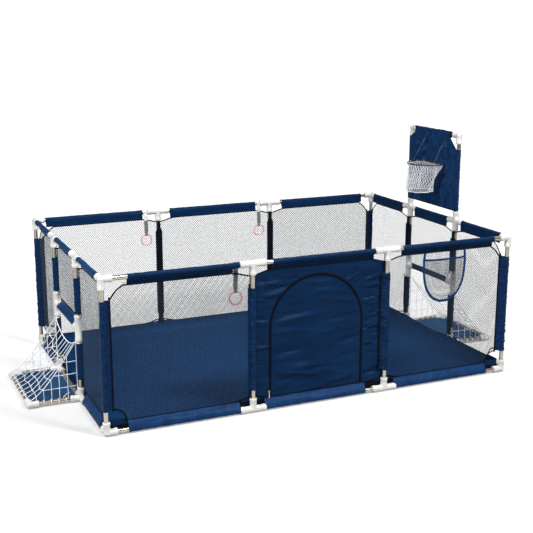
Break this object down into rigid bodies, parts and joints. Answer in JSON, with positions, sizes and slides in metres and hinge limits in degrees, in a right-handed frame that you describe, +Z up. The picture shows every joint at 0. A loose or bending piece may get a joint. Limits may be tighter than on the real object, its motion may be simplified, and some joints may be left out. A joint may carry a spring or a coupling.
{
  "type": "travel play yard",
  "caption": "Rectangular mesh play yard of plugged tubes with a zip door, a toy pocket, goals with nets at both ends, a basketball board and hanging pull rings.",
  "frame": {"origin": "on the floor under the middle of the yard", "axes": "+Z up, +X along the long side towards the basketball board, the zip door in the side at -Y"},
  "size_m": [2.33, 1.266, 1.0599],
  "materials": {
    "white_plastic": "satin",
    "tube_steel": "satin",
    "joined_tube": "satin",
    "navy_cloth": "matte",
    "grey_netting": "matte",
    "grey_webbing": "matte",
    "pink_plastic": "gloss",
    "hoop_wire": "satin",
    "zip_metal": "satin"
  },
  "bodies": {
    "frame": {"board_cover": "navy_cloth", "board_frame": "joined_tube", "corner_bottom_back_left": "white_plastic", "corner_bottom_back_right": "white_plastic", "corner_bottom_front_left": "white_plastic", "corner_bottom_front_right": "white_plastic", "corner_top_back_left": "white_plastic", "corner_top_back_right": "white_plastic", "corner_top_front_left": "white_plastic", "corner_top_front_right": "white_plastic", "floor_mat": "navy_cloth", "four_way_right_back": "white_plastic", "four_way_right_front": "white_plastic", "goal_base_left": "joined_tube", "goal_base_right": "joined_tube", "goal_crossbar_left": "joined_tube", "goal_crossbar_right": "joined_tube", "goal_net_left": "grey_netting", "goal_net_right": "grey_netting", "goal_post_left_back": "tube_steel", "goal_post_left_front": "tube_steel", "goal_post_right_back": "tube_steel", "goal_post_right_front": "tube_steel", "pocket": "grey_netting", "post_back_left": "tube_steel", "post_back_right": "tube_steel", "post_corner_back_left": "tube_steel", "post_corner_back_right": "tube_steel", "post_corner_front_left": "tube_steel", "post_corner_front_right": "tube_steel", "post_front_left": "tube_steel", "post_front_right": "tube_steel", "rail_bottom_back": "joined_tube", "rail_bottom_front": "joined_tube", "rail_bottom_left": "joined_tube", "rail_bottom_right": "joined_tube", "rail_top_back": "tube_steel", "rail_top_front": "tube_steel", "rail_top_left": "tube_steel", "rail_top_right": "tube_steel", "tee_top_back_left": "white_plastic", "tee_top_back_right": "white_plastic", "tee_top_front_left": "white_plastic", "tee_top_front_right": "white_plastic", "tee_top_left_back": "white_plastic", "tee_top_left_front": "white_plastic", "wall_back": "grey_netting", "wall_front": "navy_cloth", "wall_left": "grey_netting", "wall_right": "grey_netting"},
    "door": {"door_flap": "navy_cloth"},
    "slider": {"zip_slider": "zip_metal"},
    "hoop": {"hoop": "hoop_wire", "hoop_net": "grey_netting"},
    "strap_front": {"ring_strap_front": "grey_webbing"},
    "ring_front": {"pull_ring_front": "pink_plastic"},
    "strap_back_left": {"ring_strap_back_left": "grey_webbing"},
    "ring_back_left": {"pull_ring_back_left": "pink_plastic"},
    "strap_back_right": {"ring_strap_back_right": "grey_webbing"},
    "ring_back_right": {"pull_ring_back_right": "pink_plastic"}
  },
  "joints": [
    {"name": "door_hinge", "type": "hinge", "parent": "frame", "child": "door", "pos_m": [-0.016, -0.6071, 0.054], "axis": [1, 0, 0], "range_deg": [0, 94]},
    {"name": "zip_slide", "type": "slide", "parent": "frame", "child": "slider", "axis": [0, 0, 1], "range_m": [0, 0.26]},
    {"name": "hoop_fold", "type": "hinge", "parent": "frame", "child": "hoop", "pos_m": [0.9125, -0.02, 0.894], "axis": [0, 1, 0], "range_deg": [0, 70]},
    {"name": "strap_swing_front", "type": "hinge", "parent": "frame", "child": "strap_front", "pos_m": [-0.378, -0.618, 0.63297], "axis": [1, 0, 0], "range_deg": [0, 100]},
    {"name": "ring_swing_front", "type": "hinge", "parent": "strap_front", "child": "ring_front", "pos_m": [-0.378, -0.6005, 0.52053], "axis": [1, 0, 0], "range_deg": [0, 75]},
    {"name": "strap_swing_back_left", "type": "hinge", "parent": "frame", "child": "strap_back_left", "pos_m": [-0.378, 0.618, 0.63297], "axis": [-1, 0, 0], "range_deg": [0, 100]},
    {"name": "ring_swing_back_left", "type": "hinge", "parent": "strap_back_left", "child": "ring_back_left", "pos_m": [-0.378, 0.6005, 0.52053], "axis": [-1, 0, 0], "range_deg": [0, 75]},
    {"name": "strap_swing_back_right", "type": "hinge", "parent": "frame", "child": "strap_back_right", "pos_m": [0.242, 0.618, 0.63297], "axis": [-1, 0, 0], "range_deg": [0, 100]},
    {"name": "ring_swing_back_right", "type": "hinge", "parent": "strap_back_right", "child": "ring_back_right", "pos_m": [0.242, 0.6005, 0.52053], "axis": [-1, 0, 0], "range_deg": [0, 75]}
  ]
}
